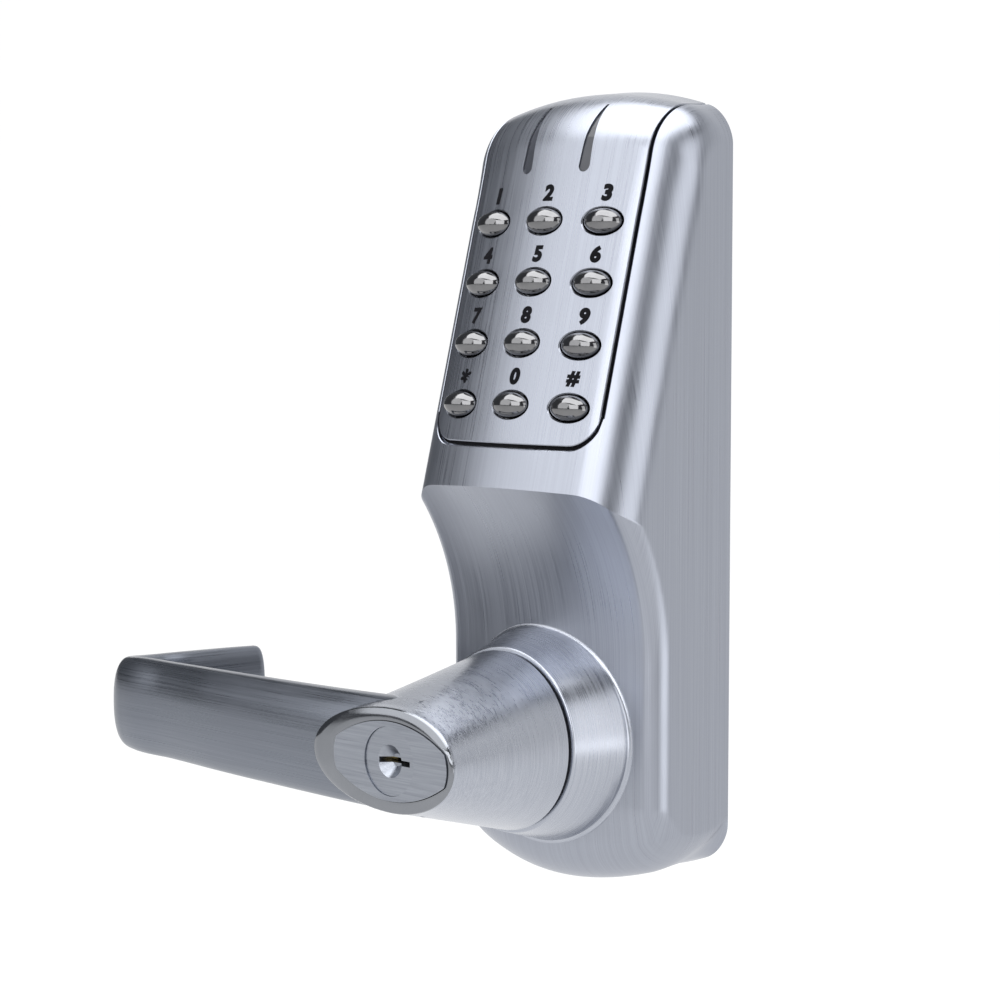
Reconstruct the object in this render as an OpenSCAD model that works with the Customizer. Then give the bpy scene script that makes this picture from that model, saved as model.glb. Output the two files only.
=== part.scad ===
// Outside unit of a lever lock with a push-button keypad.
// Frame: +Z up, the front of the lock faces -Y, and the door surface is the plane Y = 0.
// The origin is where the lever's turning axis meets the door surface.
// "Depth" below is the distance out from the door, which is -Y.

/* [Casting] */
// Width of the casting
body_w = 75; // [73:0.5:78]
// Height of the casting above the lever axis, on its centre line
body_top = 169.5; // [168:0.5:172]
// Depth of the casting below the lever axis, on its centre line
body_bottom = 40; // [39:0.5:42]
// Thickness of the casting's walls
wall_t = 3.6; // [3:0.1:4]
// Lean of the keypad face from upright, in degrees
face_lean = 15.26; // [14:0.1:16]
// Depth of the keypad face at its lowest row of buttons
face_depth = 44.5; // [44:0.1:46]
// Depth of the casting round the lever
low_depth = 32.6; // [32:0.1:33.5]
// Radius of the hollow sweep between the keypad face and the lever
scoop_r = 66; // [64:1:70]

/* [Keypad] */
// Width of the keypad plate
plate_w = 56.6; // [56:0.1:57]
// Thickness of the keypad plate
plate_t = 2; // [1.6:0.1:2.2]
// Height of the plate's lower edge above the lever axis
plate_z = 77.3; // [77:0.1:78]
// Black gap round the keypad plate
plate_gap = 0.8; // [0.6:0.1:0.9]
// Spacing of the button columns
key_dx = 18.92; // [18:0.1:19.5]
// Spacing of the button rows, up the slope
key_dy = 16.4; // [15.5:0.1:16.8]
// Length of a button
key_l = 11.8; // [11:0.1:12.4]
// Height of a button
key_h = 6.9; // [6.4:0.1:7.4]
// How far a button stands out of the plate
key_rise = 3; // [2.4:0.1:3.2]
// Button travel
key_travel = 1.2; // [0.8:0.1:1.2]

/* [Lever] */
// Depth of the lever's front face
lever_depth = 88; // [87:0.5:90]
// Reach of the lever from its axis
lever_reach = 130; // [122:0.5:132]
// Radius of the lever hub where it meets the collar
hub_r = 23.6; // [23:0.1:24]
// Half height of the lever bar at the hub
bar_h = 14.8; // [13.5:0.1:15]
// Half thickness of the lever bar
bar_t = 5.6; // [5:0.1:6]
// Turn of the lever, in degrees
lever_turn = 50; // [30:1:50]

/* [Mounting] */
// Side of the square spindle
spindle_s = 8; // [7:0.5:8]
// Height of the upper fixing post above the lever axis
post_top_z = 140; // [136:1:141]
// Distance of the lower fixing post below the lever axis
post_low_z = 25; // [24:0.5:26]
// Tapping bore of the fixing posts
post_bore = 5; // [4.2:0.1:5]

/* [Hidden] */
$fn = 64;
half_w = body_w / 2;
lean_t = tan(face_lean);
key_z0 = 87.18;
row_dz = key_dy * cos(face_lean);
scoop_z = 21;
bow_face = 0.004;
bow_low = 0.0028;
bow_top = 0.0053;
bow_base = 0.0064;
round_face = 13;
round_low = 5;
round_top = 8;
round_base = 7;
edge_low = 13;
edge_top = 20;
top_fall = 0.11;
low_spine = -22;
low_end = -18;
face_end = 135;
top_spine = 151.5;
bulge_bow = 0.004;
bulge_round = 7;
gasket_t = 0.8;
back_t = 2;
back_o = gasket_t + back_t;
collar_r = 29.2;
collar_base = 30.2;
collar_tip_r = 24.3;
collar_front = 46.6;
flange_o = [23.4, 26];
hub_back = collar_front + 0.8;
journal_r = 11;
journal_in = 8.2;
journal_back = 5.6;
spring_r = 18.5;
spring_wire = 0.9;
bush_r = 13;
fit = 0.04;
driver_r = 8.12;
pin_o = 9;
pin_r = 1.5;
stop_gap = 0.7;
lug_a = 10;
cyl_w = 20;
cyl_h = 10;
cyl_back = 58;
plug_r = 6.4;
plug_face_r = 8.7;
motor_z = 49;
bracket_x = 8.7;
pin_first = 62;
pin_pitch = 4;
pipe_x = [-9.7, 10.2];
back_w = 66;
back_low = -29.5;
back_high = 155;
boss_x = 29;
boss_z = [36, 146];
board_mid = 110.9;
board_fix = [9.46, 96, 134];
plate_corner = 7.6;
window_w = 52.8;
key_waist = 5.6;
mat_z = 8.6;
mat_t = 1.2;
board_t = 1.6;
board_z = mat_z + mat_t + board_t + 0.02;
dome_r = (pow(key_l / 2 + 0.2, 2) + key_rise * key_rise) / (2 * key_rise);
NAMES = ["1", "2", "3", "4", "5", "6", "7", "8", "9", "star", "0", "hash"];

// ---------------------------------------------------------------- helpers
// Local x is to the right, local y is up and local z is out from the door.
module facing() rotate([90, 0, 0]) children();

module disc(r, o1, o2, z = 0, x = 0)
    facing() translate([x, z, o1]) cylinder(r = r, h = o2 - o1);

module ring(r1, r2, o1, o2)
    facing() translate([0, 0, o1]) linear_extrude(o2 - o1) difference() {
        circle(r = r2);
        circle(r = r1);
    }

module wedge(r, a1, a2)
    polygon(concat([[0, 0]], [for (i = [0:4]) let(a = a1 + (a2 - a1) * i / 4)
        [r * cos(a), r * sin(a)]]));

module sector(r1, r2, a1, a2, o1, o2)
    facing() translate([0, 0, o1]) linear_extrude(o2 - o1) intersection() {
        difference() {
            circle(r = r2);
            circle(r = r1);
        }
        wedge(2 * r2, a1, a2);
    }

module rounded(w, z1, z2, r) {
    translate([-w / 2, z1 + r]) square([w, z2 - z1 - 2 * r]);
    translate([-w / 2 + r, z1]) square([w - 2 * r, z2 - z1]);
    for (x = [-1, 1], z = [z1 + r, z2 - r]) translate([x * (w / 2 - r), z]) circle(r = r);
}

// Faces of a grid of n rings with m points each, closed round the ring, with flat ends.
function tube_faces(n, m) = concat([[for (j = [0:m - 1]) j]],
    [for (i = [0:n - 2], j = [0:m - 1]) let(k = (j + 1) % m)
        let(a = i * m, b = a + m) each [[a + j, b + j, b + k], [a + j, b + k, a + k]]],
    [[for (j = [m - 1:-1:0]) (n - 1) * m + j]]);

// ---------------------------------------------------------------- casting surface
function slope_depth(z) = face_depth - (z - key_z0) * lean_t;
function scoop_depth(z) = low_depth
    + (z > scoop_z ? scoop_r - sqrt(scoop_r * scoop_r - pow(z - scoop_z, 2)) : 0);
function round_drop(x, r, w) = let(a = min(max(abs(x) - (w - r), 0), r)) r - sqrt(r * r - a * a);
function side_drop(x, bow, r, w) = bow * x * x + round_drop(x, r, w);

// Height at which the hollow sweep meets the keypad face, away from the centre line
function lip_z(x, w, inset) =
    let(fall = side_drop(x, bow_face, round_face - inset, w)
            - side_drop(x, bow_low, round_low - min(inset, 4), w),
        m = lean_t,
        q = low_depth + scoop_r - inset - slope_depth(scoop_z) + inset / cos(face_lean) + fall,
        root = sqrt(pow(q * m, 2) - (1 + m * m) * (q * q - scoop_r * scoop_r)))
    scoop_z + (root - q * m) / (1 + m * m);

// Corner between the keypad face and the top, and its rounding
function top_corner(inset) =
    let(o = (slope_depth(body_top) - inset / cos(face_lean) + inset * lean_t) / (1 - top_fall * lean_t))
    [o, body_top - inset - top_fall * o];
function top_arc(inset) =
    let(a1 = face_lean, a2 = 90 - atan(top_fall), r = edge_top - inset, c = top_corner(inset),
        h = r / cos((a2 - a1) / 2), am = (a1 + a2) / 2,
        cx = c[0] - h * cos(am), cz = c[1] - h * sin(am))
    [for (i = [0:8]) let(a = a1 + (a2 - a1) * i / 8) [cx + r * cos(a), cz + r * sin(a)]];
function low_arc(inset) =
    let(r = edge_low - inset)
    [for (i = [0:5]) let(a = -90 + 18 * i)
        [low_depth - edge_low + r * cos(a), -body_bottom + edge_low + r * sin(a)]];

// Stations round the casting on its centre line: [depth, height, share of the fan]
function low_stations(inset, back) = concat(
    [for (i = [0:2]) [back + (low_depth - edge_low - back) * i / 3, -body_bottom + inset]],
    low_arc(inset), [[low_depth - inset, low_end]]);
function top_stations(inset, back) =
    let(arc = top_arc(inset), e = arc[8], end_z = e[1] + top_fall * (e[0] - back))
    concat([for (z = [face_end, face_end + 6, face_end + 12]) [slope_depth(z) - inset / cos(face_lean), z]],
        arc,
    [for (i = [1:2]) [e[0] + (back - e[0]) * i / 2, e[1] + (end_z - e[1]) * i / 2]]);

// One station as a ring of points: from the door, round the front and back to the door
function columns(w) =
    let(half = [0, 8, 16, 24.5, 28, 31, 33.2, 34.8, 36, 36.8, 37.3, 37.5] * (w / 37.5), n = len(half))
    concat([for (i = [n - 1:-1:1]) -half[i]], half);
function fan_ring(p, spine, back, bow, r, w) =
    let(d = [p[0] - back, p[1] - spine], h = norm(d), n = d / h)
    concat([[-w, -back, spine]],
        [for (x = columns(w)) let(s = h - side_drop(x, bow, r, w))
            [x, -(back + n[0] * s), spine + n[1] * s]],
        [[w, -back, spine]]);
function mix(a, b, t) = a + (b - a) * t;

function casting_rings(inset, back) =
    let(w = half_w - inset, low = low_stations(inset, back), top = top_stations(inset, back),
        nl = len(low), nt = len(top), rl = round_low - min(inset, 4), rf = round_face - inset,
        rb = max(round_base - inset, 2.4), rt = round_top - inset, xs = columns(w),
        s0 = low_spine + inset * 0.4, s1 = top_spine - inset * 0.4)
    concat(
    [for (i = [0:nl - 1]) let(t = i / (nl - 1))
        fan_ring(low[i], mix(s0, low_end, t), back,
            mix(bow_base, bow_low, t) + bulge_bow * sin(180 * t),
            mix(rb, rl, t) + bulge_round * sin(180 * t), w)],
    [for (t = [0.2, 0.4, 0.52, 0.64, 0.76, 0.88, 1])
        let(zs = [for (x = xs) mix(low_end, lip_z(x, w, inset), t)])
        concat([[-w, -back, zs[0]]],
        [for (i = [0:len(xs) - 1])
            [xs[i], -(scoop_depth(zs[i]) - inset - side_drop(xs[i], bow_low, rl, w)), zs[i]]],
        [[w, -back, zs[0]]])],
    [for (t = [0.15, 0.4, 0.7])
        let(zs = [for (x = xs) mix(lip_z(x, w, inset), face_end, t)])
        concat([[-w, -back, zs[0]]],
        [for (i = [0:len(xs) - 1])
            let(o = slope_depth(zs[i]) - inset / cos(face_lean) - side_drop(xs[i], bow_face, rf, w))
            [xs[i], -o, zs[i]]],
        [[w, -back, zs[0]]])],
    [for (i = [0:nt - 1]) let(t = i / (nt - 1))
        fan_ring(top[i], mix(face_end, s1, t), back, mix(bow_face, bow_top, t),
            mix(rf, rt, t), w)]);

// A closed solid whose front follows the casting, set inwards by inset
module skin(inset = 0, back = 0) {
    rings = casting_rings(inset, back);
    n = len(rings);
    m = len(rings[0]);
    faces = concat(
        [for (i = [0:n - 2], j = [0:m - 2])
            let(a = i * m + j, b = a + m) each [[a, b, b + 1], [a, b + 1, a + 1]]],
        [concat([for (j = [1:m - 2]) j], [for (i = [0:n - 1]) i * m + m - 1],
            [for (j = [m - 2:-1:1]) (n - 1) * m + j], [for (i = [n - 1:-1:0]) i * m])]);
    polyhedron(points = [for (r = rings) each r], faces = faces, convexity = 8);
}

// A skin and what is cut from it by another skin, as one surface
module shell() resize([0, 0, 0]) difference() {
    children(0);
    children(1);
}

module plate_outline(grow) {
    w = plate_w + 2 * grow;
    r = plate_corner + grow;
    z = plate_z - grow * 1.5;
    translate([-w / 2, z + r]) square([w, 110]);
    translate([-w / 2 + r, z]) square([w - 2 * r, r + 1]);
    for (x = [-1, 1]) translate([x * (w / 2 - r), z + r]) circle(r = r);
}

module boss_places() for (x = [-1, 1], z = boss_z) translate([x * boss_x, 0, z]) children();
module flange_screw_places() for (a = [35, 145, 215, 325])
    translate([31 * cos(a), 0, 31 * sin(a)]) children();
// Frame of a place on the sloping face: local z is out of the face
module on_slope(x, z, drop = 0)
    translate([x, -slope_depth(z), z]) rotate([90 - face_lean, 0, 0]) translate([0, 0, -drop]) children();
module plate_screw_places() for (x = [-1, 1], p = [[board_fix[0], 80.2, 0.4], [21.5, 149.5, 1.9]])
    on_slope(x * p[0], p[1], p[2]) children();

module casting() color([0.66, 0.68, 0.72]) difference() {
    union() {
        shell() {
            skin();
            union() {
                difference() {
                    facing() linear_extrude(70) plate_outline(plate_gap);
                    skin(plate_t + 0.3, -2);
                }
                skin(wall_t, -1);
            }
        }
        for (x = [-1, 1]) {
            disc(3.4, back_o + 0.02, 28.2, boss_z[0], x * boss_x);
            disc(3.4, back_o + 0.02, 21, boss_z[1], x * boss_x);
        }
    }
    facing() linear_extrude(70) rounded(window_w, plate_z + 3.9, 143, 4);
    for (x = pipe_x) facing() linear_extrude(70) translate([x, 0]) rounded(6, 144.5, 166, 2.5);
    collar_cone(0.05);
    boss_places() disc(1.25, -1, 14);
    flange_screw_places() disc(1.25, 20, 28.4);
    plate_screw_places() translate([0, 0, -9]) cylinder(r = 1.6, h = 7);
}

// ---------------------------------------------------------------- keypad
function key_x(i) = (i % 3 - 1) * key_dx;
function key_z(i) = key_z0 + (3 - floor(i / 3)) * row_dz;
function key_drop(i) = bow_face * pow(key_x(i), 2);

module board_posts() for (x = [-1, 1], z = [board_fix[1], board_fix[2]])
    on_slope(x * board_fix[0], z, mat_z + mat_t) children();

module key_outline(grow) intersection() {
    circle(r = key_l / 2 + grow);
    for (s = [-1, 1]) intersection_for(t = [-1, 1])
        translate([0, t * key_waist]) circle(r = key_waist + key_h / 2 + grow);
}

module keypad_plate() color([0.7, 0.72, 0.76]) difference() {
    union() {
        shell() {
            intersection() {
                skin();
                facing() linear_extrude(70) plate_outline(0);
            }
            skin(plate_t, -1);
        }
        board_posts() cylinder(r = 2, h = mat_z + mat_t - 1);
    }
    for (i = [0:11]) on_slope(key_x(i), key_z(i), 8) linear_extrude(10) key_outline(0.3);
    for (x = pipe_x) facing() linear_extrude(70) pipe_outline(x, 0.05);
    plate_screw_places() translate([0, 0, -4]) cylinder(r = 1.25, h = 3.2);
    board_posts() translate([0, 0, -0.1]) cylinder(r = 0.8, h = 6);
}

// Slot for a light: round at its lower end and tapering to a point at its upper end
module pipe_outline(x, grow) {
    translate([x, 148.9]) circle(r = 1.7 + grow);
    polygon([[x - 1.7 - grow, 148.9], [x + 1.7 + grow, 148.9], [x + 1.3 + grow, 157],
        [x + 0.25 + grow, 165], [x - 0.25 - grow, 165], [x - 1.3 - grow, 157]]);
}

module light_pipe(x) color([0.16, 0.17, 0.2]) shell() {
    intersection() {
        skin(0.4);
        facing() linear_extrude(70) pipe_outline(x, 0);
    }
    skin(7.6, -1);
}
module light_pipe_left() light_pipe(pipe_x[0]);
module light_pipe_right() light_pipe(pipe_x[1]);

module plate_seal() color([0.05, 0.05, 0.06])
    shell() {
        intersection() {
            skin(1.2);
            facing() linear_extrude(70) difference() {
                plate_outline(plate_gap - 0.1);
                plate_outline(0.1);
            }
        }
        skin(plate_t + 0.1, -1);
    }

// A domed cap, a collar behind the plate and a stem
module button(i) color([0.5, 0.52, 0.56]) on_slope(key_x(i), key_z(i), key_drop(i)) {
    intersection() {
        translate([0, 0, -plate_t - 0.4]) linear_extrude(key_rise + plate_t + 0.4) key_outline(0);
        translate([0, 0, key_rise - dome_r]) sphere(r = dome_r);
    }
    flange = plate_t + 0.6 + 0.75 * key_drop(i);
    stem = mat_z - key_travel - 0.4 - key_drop(i);
    translate([0, 0, -flange - 0.5]) linear_extrude(flange - plate_t + 0.6) key_outline(0);
    translate([0, 0, -flange - 1]) linear_extrude(1) key_outline(0.8);
    translate([0, 0, -stem]) cylinder(r = 1.6, h = stem - flange);
}

module on_board(drop) on_slope(0, board_mid, drop) children();
module board_shape(w, h, r) {
    square([w - 2 * r, h], center = true);
    square([w, h - 2 * r], center = true);
    for (x = [-1, 1], y = [-1, 1]) translate([x * (w / 2 - r), y * (h / 2 - r)]) circle(r = r);
}
function slope_y(z) = (z - board_mid) / cos(face_lean);
module board_screw_places() for (x = [-1, 1], z = [board_fix[1], board_fix[2]])
    translate([x * board_fix[0], slope_y(z), 0]) children();

module rubber_mat() color([0.15, 0.15, 0.17]) on_board(mat_z + mat_t) {
    difference() {
        linear_extrude(mat_t) board_shape(49, 57.6, 3);
        board_screw_places() translate([0, 0, -1]) cylinder(r = 2.3, h = 3);
    }
}

module circuit_board() color([0.05, 0.3, 0.16]) on_board(board_z) difference() {
    translate([0, 6, 0]) linear_extrude(board_t) board_shape(49, 69.6, 2);
    board_screw_places() translate([0, 0, -1]) cylinder(r = 1.1, h = 4);
}

module board_screws() color([0.75, 0.75, 0.78]) on_board(board_z + 0.02) board_screw_places() {
    translate([0, 0, -1.2]) cylinder(r = 1.9, h = 1.2);
    translate([0, 0, -0.1]) cylinder(r = 0.78, h = 6.2);
}

module chip(w, h, t, x, y) translate([x, y, -t]) linear_extrude(t) square([w, h], center = true);
module board_chips() color([0.08, 0.08, 0.09]) on_board(board_z + 0.02) {
    chip(9, 9, 1.2, 0, 8);
    chip(6, 5, 1.4, 13, 6);
    chip(4, 3, 1, -12, 12);
    chip(3, 6, 1, 16, -6);
}
module board_connector() color([0.9, 0.88, 0.8]) on_board(board_z + 0.02) difference() {
    chip(14, 5, 5, 0, -26);
    translate([0, -26, -6]) linear_extrude(4) square([12.4, 3.4], center = true);
}
module buzzer() color([0.1, 0.1, 0.1]) on_board(board_z + 0.02) translate([-12, -6, -4]) difference() {
    cylinder(r = 5, h = 4);
    translate([0, 0, -1]) cylinder(r = 1, h = 2);
}
module status_leds() color([0.9, 0.3, 0.2]) for (x = pipe_x)
    on_slope(x, 149, mat_z + mat_t - 0.01) translate([-1.5, -1.25, 0]) cube([3, 2.5, 0.9]);

// Pan-head screws through the casting's ledge into the plate
module plate_screws() color([0.75, 0.75, 0.78]) plate_screw_places() {
    translate([0, 0, -wall_t - 2.3]) cylinder(r = 2.1, h = 1.5);
    translate([0, 0, -wall_t - 0.9]) cylinder(r = 1.2, h = 3.6);
}

// ---------------------------------------------------------------- collar and drive
module collar_cone(grow) facing() {
    translate([0, 0, flange_o[0] + 1]) cylinder(r = collar_r + grow, h = collar_base - flange_o[0] - 1);
    translate([0, 0, collar_base])
        cylinder(r1 = collar_r + grow, r2 = collar_tip_r + grow, h = collar_front - collar_base);
}
module lever_collar() color([0.7, 0.72, 0.76]) difference() {
    union() {
        collar_cone(0);
        facing() translate([0, 0, flange_o[0]]) linear_extrude(flange_o[1] - flange_o[0]) intersection() {
            circle(r = 33.2);
            translate([-29.5, -26]) square([59, 59]);
        }
        sector(23, 29.5, 90 - lug_a - stop_gap - 14, 90 - lug_a - stop_gap, 14, flange_o[0] + 0.5);
        sector(23, 29.5, 90 + lever_turn + lug_a + stop_gap, 104 + lever_turn + lug_a + stop_gap,
            14, flange_o[0] + 0.5);
    }
    disc(bush_r + 0.02, 0, 60);
    ring(15.5, 21.6, 10, 42);
    flange_screw_places() disc(1.6, 20, 28);
}

module lever_bush() color([0.72, 0.56, 0.28]) difference() {
    union() {
        disc(bush_r, flange_o[0] - 1, collar_front);
        disc(14.6, flange_o[0] - 1.5, flange_o[0] - 0.02);
    }
    disc(journal_r + fit, 0, 60);
}

// Plate keyed to the journal, with the lug that meets the collar's stops
module drive_plate() color([0.6, 0.6, 0.62]) {
    ring(journal_r + 0.02, 21.5, 13.8, 17.2);
    sector(21.4, 27.5, 90 - lug_a, 90 + lug_a, 14.4, 17.2);
}
module circlip() color([0.35, 0.35, 0.37]) sector(10.3, 13.6, 20, 340, 12.4, 13.6);

// Torsion spring that turns the lever back up
function helix(r, pitch, turns, o, steps) = [for (i = [0:steps])
    let(a = 360 * turns * i / steps) [r * cos(a), -(o + pitch * turns * i / steps), r * sin(a)]];
module wire(path, r, sides) {
    n = len(path);
    rings = [for (i = [0:n - 1])
        let(d = path[min(i + 1, n - 1)] - path[max(i - 1, 0)], t = d / norm(d),
            u0 = cross(t, [0, 1, 0]), u = u0 / norm(u0), v = cross(t, u))
        [for (j = [0:sides - 1]) let(a = 360 * j / sides) path[i] + r * (u * cos(a) + v * sin(a))]];
    polyhedron(points = [for (q = rings) each q], faces = tube_faces(n, sides), convexity = 6);
}
module return_spring() color([0.4, 0.4, 0.42]) wire(helix(spring_r, 2.6, 5, 26, 100), spring_wire, 6);

// Inner hub with the square socket for the spindle
module spindle_driver() color([0.75, 0.74, 0.7]) difference() {
    union() {
        disc(driver_r, 0.9, 24);
        disc(12, back_o + 0.4, back_o + 2.4);
    }
    facing() translate([0, 0, -1]) linear_extrude(15) square(spindle_s + 0.1, center = true);
    disc(3.4, 12, 30);
    translate([0, -pin_o, 4.3]) cylinder(r = pin_r + 0.1, h = 8);
}

module clutch_pin() color([0.8, 0.8, 0.82]) translate([0, -pin_o, 8.3]) cylinder(r = pin_r, h = 5);

// Yoke with an arc shoe, which pushes the pin at any angle of the lever
module clutch_yoke() color([0.85, 0.85, 0.88]) difference() {
    union() {
        sector(14.2, 16.8, 38, 158, 7.4, 10.6);
        facing() translate([-4, 16, 5.6]) cube([8, 13, 6.3]);
    }
    translate([0, -pin_o, 18.2]) cylinder(r = 1.65, h = 20);
}
module drive_cam() color([0.75, 0.72, 0.55]) {
    translate([0, -pin_o, 21.2]) cylinder(r = 1.55, h = motor_z - 21.3);
    translate([0, -pin_o, 35]) cylinder(r = 3.6, h = 5);
}
module clutch_motor() color([0.78, 0.79, 0.8]) {
    translate([0, -pin_o, motor_z]) cylinder(r = 6, h = 15);
    translate([0, -pin_o, motor_z + 15]) cylinder(r = 2.2, h = 1.4);
}
module motor_bracket() color([0.12, 0.12, 0.14]) difference() {
    facing() translate([-11, motor_z + 1, back_o + 0.02]) cube([22, 12, 7]);
    translate([0, -pin_o, motor_z - 5]) cylinder(r = 6.05, h = 30);
    for (x = [-1, 1]) disc(1.1, -1, 12, motor_z + 7, x * bracket_x);
}
module bracket_screws() color([0.75, 0.75, 0.78]) for (x = [-1, 1]) {
    disc(1.9, back_o + 7.04, back_o + 8.2, motor_z + 7, x * bracket_x);
    disc(1.05, gasket_t + 0.02, back_o + 7.1, motor_z + 7, x * bracket_x);
}

// ---------------------------------------------------------------- lever
// The hub lofts from the collar's circle to the oval front
function hub_ring(t) =
    let(o = mix(hub_back, lever_depth - 0.6, t), b = mix(hub_r, 13, t), ar = mix(hub_r, 21.6, t),
        al = mix(hub_r, 29, t), m = 48)
    [for (j = [0:m - 1]) let(a = 360 * j / m, x = cos(a), z = sin(a))
        [(x > 0 ? ar : al) * x, -o, b * z]];

// Middle line of the bar: out of the hub, along, round the end and back towards the door
bar_path = concat(
    [[4, 79], [-20, 79.6], [-45, 79.2], [-75, 77.8], [-98, 76.2]],
    [for (i = [0:5]) let(a = 90 + 17 * i) [8.5 * cos(a) - lever_reach + 14.2, 67 + 8.5 * sin(a)]],
    [[-lever_reach + 7.6, 52], [-lever_reach + 9.4, 38], [-lever_reach + 10.6, 29]]);
function bar_ring(i) =
    let(n = len(bar_path), p = bar_path[i], d = bar_path[min(i + 1, n - 1)] - bar_path[max(i - 1, 0)],
        u = [d[1], -d[0]] / norm(d), s = i / (n - 1), m = 24,
        h = i < 5 ? mix(bar_h, 13.5, i / 4) : mix(13.5, 11.4, (i - 4) / (n - 5)),
        w = i < 5 ? mix(7, bar_t, i / 4) : mix(bar_t, 4.6, (i - 4) / (n - 5)))
    [for (j = [0:m - 1]) let(a = 360 * j / m, x = sign(cos(a)) * pow(abs(cos(a)), 0.8),
        z = sign(sin(a)) * pow(abs(sin(a)), 0.8))
        [p[0] + u[0] * w * x, -(p[1] + u[1] * w * x), h * z]];
module loft(rings) polyhedron(points = [for (r = rings) each r],
    faces = tube_faces(len(rings), len(rings[0])), convexity = 6);

module oval(grow) intersection() {
    union() {
        square([2 * (cyl_w - cyl_h) + 2 * grow, 2 * (cyl_h + grow)], center = true);
        for (x = [-1, 1]) translate([x * (cyl_w - cyl_h), 0]) circle(r = cyl_h + grow);
    }
    for (y = [-1, 1]) intersection_for(s = [-1, 1]) translate([0, s * 24]) circle(r = 34 + grow);
}

module lever_handle() color([0.68, 0.7, 0.74]) difference() {
    union() {
        loft([for (i = [0:4]) hub_ring(i / 4)]);
        loft([for (i = [0:len(bar_path) - 1]) bar_ring(i)]);
        disc(journal_r, journal_back, hub_back + 2);
    }
    facing() translate([0, 0, cyl_back - 4]) linear_extrude(50) oval(0.15);
    disc(journal_in, 0, cyl_back + 2);
    translate([0, -pin_o, 0]) cylinder(r = pin_r + 0.05, h = 20);
    ring(10.28, 12, 12.35, 13.65);
    translate([0, -70, -40]) cylinder(r = 2.05, h = 38);
}

// Six pin chambers in a row along the cylinder
module pin_places(x) for (i = [0:5])
    translate([x, -(pin_first + pin_pitch * i), 0]) rotate([0, -90, 0]) children();
module cylinder_body() color([0.62, 0.64, 0.68]) difference() {
    facing() translate([0, 0, cyl_back]) linear_extrude(lever_depth + 0.4 - cyl_back) oval(0);
    disc(plug_r + fit, 50, 100);
    disc(plug_face_r + 0.06, lever_depth - 2.2, 100);
    pin_places(-6) cylinder(r = 1.5, h = 12);
    translate([0, -70, -10.5]) cylinder(r = 2.1, h = 1.2);
}
module key_plug() color([0.7, 0.71, 0.74]) difference() {
    union() {
        disc(plug_r, cyl_back - 3.4, lever_depth);
        disc(plug_face_r, lever_depth - 2.1, lever_depth);
    }
    facing() translate([0, 0, lever_depth - 2.6]) cylinder(r1 = 1.6, r2 = 4.2, h = 2.62);
    facing() translate([-4, -0.7, cyl_back + 1.2]) cube([11, 1.4, 40]);
    ring(5.6, 9, cyl_back - 1.8, cyl_back - 0.4);
    pin_places(-1) cylinder(r = 1.5, h = 8);
}
function bitting(i) = 0.6 * ((i * 5) % 4);
module key_pins() color([0.8, 0.66, 0.35]) for (i = [0:5])
    translate([-1.6 - bitting(i) * 0.5, -(pin_first + pin_pitch * i), 0]) rotate([0, -90, 0])
        cylinder(r = 1.42, h = 4.55 - bitting(i) * 0.5);
module driver_pins() color([0.8, 0.8, 0.82]) pin_places(-6.75) cylinder(r = 1.42, h = 4);
module pin_springs() color([0.6, 0.6, 0.62]) for (i = [0:5])
    translate([-11, -(pin_first + pin_pitch * i), 0]) rotate([0, 0, -90])
        wire(helix(1.05, 1.5, 4, 0, 32), 0.18, 4);
module plug_clip() color([0.35, 0.35, 0.37]) sector(5.64, 8, 25, 335, cyl_back - 1.7, cyl_back - 0.5);
module tailpiece() color([0.75, 0.74, 0.7]) {
    disc(5, cyl_back - 4.9, cyl_back - 3.42);
    facing() translate([-2.5, -0.8, 19]) cube([5, 1.6, cyl_back - 23.8]);
}
module cylinder_screw() color([0.3, 0.3, 0.32]) difference() {
    translate([0, -70, -15.4]) cylinder(r = 2, h = 5.9);
    translate([0, -70, -15.5]) cylinder(r = 1.1, h = 2, $fn = 6);
}

// ---------------------------------------------------------------- mounting
module plate_holes(extra) {
    circle(r = 13);
    translate([-8, 72]) square([16, 8]);
    for (z = [post_top_z, -post_low_z]) translate([0, z]) circle(r = 4.5 + extra);
}
module back_plate() color([0.72, 0.73, 0.75]) difference() {
    facing() translate([0, 0, gasket_t + 0.01]) linear_extrude(back_t - 0.02) difference() {
        rounded(back_w, back_low, back_high, 6);
        plate_holes(0.02);
        for (x = [-1, 1]) translate([x * bracket_x, motor_z + 7]) circle(r = 1.1);
    }
    boss_places() facing() translate([0, 0, gasket_t]) cylinder(r1 = 3, r2 = 1.6, h = 1.5);
    boss_places() disc(1.6, 0, 5);
}
module door_gasket() color([0.06, 0.06, 0.06]) facing() linear_extrude(gasket_t - 0.01) difference() {
    rounded(back_w, back_low, back_high, 6);
    plate_holes(0.02);
    for (x = [-1, 1], z = boss_z) translate([x * boss_x, z]) circle(r = 3.4);
}
module back_screws() color([0.75, 0.75, 0.78]) boss_places() {
    facing() translate([0, 0, gasket_t + 0.02]) cylinder(r1 = 2.9, r2 = 1.5, h = 1.45);
    disc(1.2, gasket_t + 1, 11);
}
module collar_screws() color([0.75, 0.75, 0.78]) flange_screw_places() {
    disc(2, flange_o[0] - 1.7, flange_o[0] - 0.02);
    disc(1.2, flange_o[0] - 0.2, 28);
}
module fixing_posts() color([0.72, 0.73, 0.75]) for (p = [[post_top_z, 15.5], [-post_low_z, 12]])
    difference() {
        union() {
            disc(4.5, 0, p[1], p[0]);
            disc(5.6, back_o + 0.01, p[1], p[0]);
        }
        disc(post_bore / 2, -1, p[1] - 2, p[0]);
    }
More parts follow.
